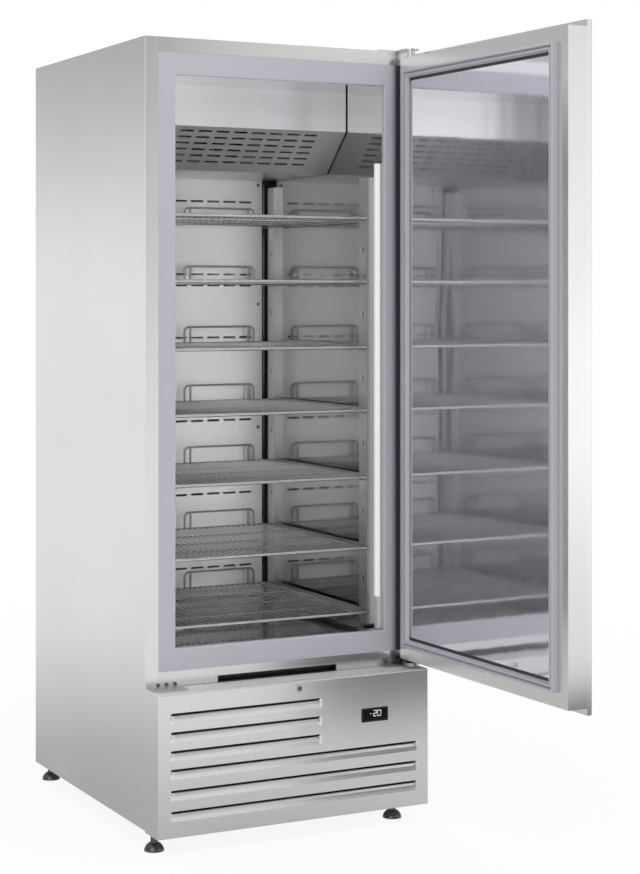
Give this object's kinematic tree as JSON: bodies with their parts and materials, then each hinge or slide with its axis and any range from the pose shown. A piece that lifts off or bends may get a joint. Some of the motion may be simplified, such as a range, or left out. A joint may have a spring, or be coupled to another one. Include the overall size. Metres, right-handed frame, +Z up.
{
  "type": "upright freezer",
  "caption": "Upright stainless freezer with an open hinged door, wire shelves on slotted posts, a lit mirror-bright chamber, louvred base panel and levelling feet.",
  "frame": {"origin": "on the floor, under the middle of the cabinet's footprint", "axes": "+Z up, -Y out of the cabinet's front, +X to the hinge side"},
  "size_m": [0.7781, 1.5537, 1.9605],
  "materials": {
    "stainless": "brushed",
    "mirror_steel": "bright polished",
    "galvanised": "galvanised",
    "bright_bar": "bright zinc",
    "frame_plastic": "satin",
    "black_plastic": "satin",
    "display": "glossy",
    "diffuser": "opal",
    "lamp_metal": "anodised",
    "chrome": "polished",
    "seal_rubber": "soft",
    "foam": "cellular",
    "fin_aluminium": "mill",
    "copper": "drawn",
    "black_enamel": "gloss enamel",
    "mount_rubber": "moulded",
    "fan_plastic": "moulded",
    "foot_metal": "zinc plated",
    "pan_aluminium": "mill",
    "nylon": "natural"
  },
  "bodies": {
    "cabinet": {"side_panel_left": "stainless", "side_panel_right": "stainless", "top_panel": "stainless", "back_panel": "galvanised", "rear_grille": "galvanised", "base_pan": "galvanised", "compartment_ceiling": "galvanised", "insulation": "foam", "inner_liner": "mirror_steel", "breaker_frame": "frame_plastic", "front_rail": "stainless", "air_slot_insert": "black_plastic", "louvre_panel": "stainless", "controller": "black_plastic", "controller_window": "display", "lock_body": "chrome", "top_hinge_plate": "stainless", "bottom_hinge_bracket": "stainless", "spare_hinge_plate": "stainless", "screws": "chrome", "shelf_posts": "stainless", "shelf_runners": "stainless", "lamp_channel": "lamp_metal", "lamp_diffuser": "diffuser", "evaporator_cover": "mirror_steel", "rear_duct_panel": "mirror_steel", "evaporator_coil": "fin_aluminium", "evaporator_fan_frame": "galvanised", "evaporator_fan_motor": "black_enamel", "drain_pan": "pan_aluminium", "condenser": "fin_aluminium", "condenser_shroud": "galvanised", "condenser_fan_motor": "black_enamel", "compressor": "black_enamel", "compressor_mounts": "mount_rubber", "electrical_box": "black_plastic", "condensate_tray": "pan_aluminium", "refrigerant_pipes": "copper", "cord_gland": "black_plastic"},
    "door": {"door_outer_skin": "stainless", "door_foam": "foam", "door_inner_pan": "stainless", "door_inner_panel": "mirror_steel", "door_seal_trim": "black_plastic", "door_gasket": "seal_rubber", "hinge_bushes": "black_plastic"},
    "lock_barrel": {"lock_barrel": "chrome"},
    "evaporator_fan": {"evaporator_fan": "fan_plastic"},
    "condenser_fan": {"condenser_fan": "fan_plastic"},
    "shelf_1": {"shelf_1": "bright_bar"},
    "shelf_2": {"shelf_2": "bright_bar"},
    "shelf_3": {"shelf_3": "bright_bar"},
    "shelf_4": {"shelf_4": "bright_bar"},
    "shelf_5": {"shelf_5": "bright_bar"},
    "shelf_6": {"shelf_6": "bright_bar"},
    "shelf_7": {"shelf_7": "bright_bar"},
    "foot_front_left": {"foot_front_left": "foot_metal"},
    "foot_front_right": {"foot_front_right": "foot_metal"},
    "foot_rear_left": {"foot_rear_left": "foot_metal"},
    "foot_rear_right": {"foot_rear_right": "foot_metal"}
  },
  "joints": [
    {"name": "door_hinge", "type": "hinge", "parent": "cabinet", "child": "door", "pos_m": [0.3443, -0.4341, 1.17], "axis": [0, 0, 1], "range_deg": [-91.2, 16]},
    {"name": "shelf_1_slide", "type": "slide", "parent": "cabinet", "child": "shelf_1", "axis": [0, -1, 0], "range_m": [0, 0.3]},
    {"name": "shelf_2_slide", "type": "slide", "parent": "cabinet", "child": "shelf_2", "axis": [0, -1, 0], "range_m": [0, 0.3]},
    {"name": "shelf_3_slide", "type": "slide", "parent": "cabinet", "child": "shelf_3", "axis": [0, -1, 0], "range_m": [0, 0.3]},
    {"name": "shelf_4_slide", "type": "slide", "parent": "cabinet", "child": "shelf_4", "axis": [0, -1, 0], "range_m": [0, 0.3]},
    {"name": "shelf_5_slide", "type": "slide", "parent": "cabinet", "child": "shelf_5", "axis": [0, -1, 0], "range_m": [0, 0.3]},
    {"name": "shelf_6_slide", "type": "slide", "parent": "cabinet", "child": "shelf_6", "axis": [0, -1, 0], "range_m": [0, 0.3]},
    {"name": "shelf_7_slide", "type": "slide", "parent": "cabinet", "child": "shelf_7", "axis": [0, -1, 0], "range_m": [0, 0.3]},
    {"name": "lock_turn", "type": "hinge", "parent": "cabinet", "child": "lock_barrel", "pos_m": [0.004, -0.465, 0.367], "axis": [0, -1, 0], "range_deg": [0, 90]},
    {"name": "evaporator_fan_spin", "type": "hinge", "parent": "cabinet", "child": "evaporator_fan", "pos_m": [0, -0.007, 1.761], "axis": [0, 1, 0], "continuous": true},
    {"name": "condenser_fan_spin", "type": "hinge", "parent": "cabinet", "child": "condenser_fan", "pos_m": [-0.135, -0.2938, 0.221], "axis": [0, 1, 0], "continuous": true},
    {"name": "foot_front_left_screw", "type": "hinge", "parent": "cabinet", "child": "foot_front_left", "pos_m": [-0.352, -0.409, 0.03], "axis": [0, 0, 1], "continuous": true},
    {"name": "foot_front_right_screw", "type": "hinge", "parent": "cabinet", "child": "foot_front_right", "pos_m": [0.303, -0.409, 0.03], "axis": [0, 0, 1], "continuous": true},
    {"name": "foot_rear_left_screw", "type": "hinge", "parent": "cabinet", "child": "foot_rear_left", "pos_m": [-0.335, 0.367, 0.03], "axis": [0, 0, 1], "continuous": true},
    {"name": "foot_rear_right_screw", "type": "hinge", "parent": "cabinet", "child": "foot_rear_right", "pos_m": [0.327, 0.367, 0.03], "axis": [0, 0, 1], "continuous": true}
  ]
}
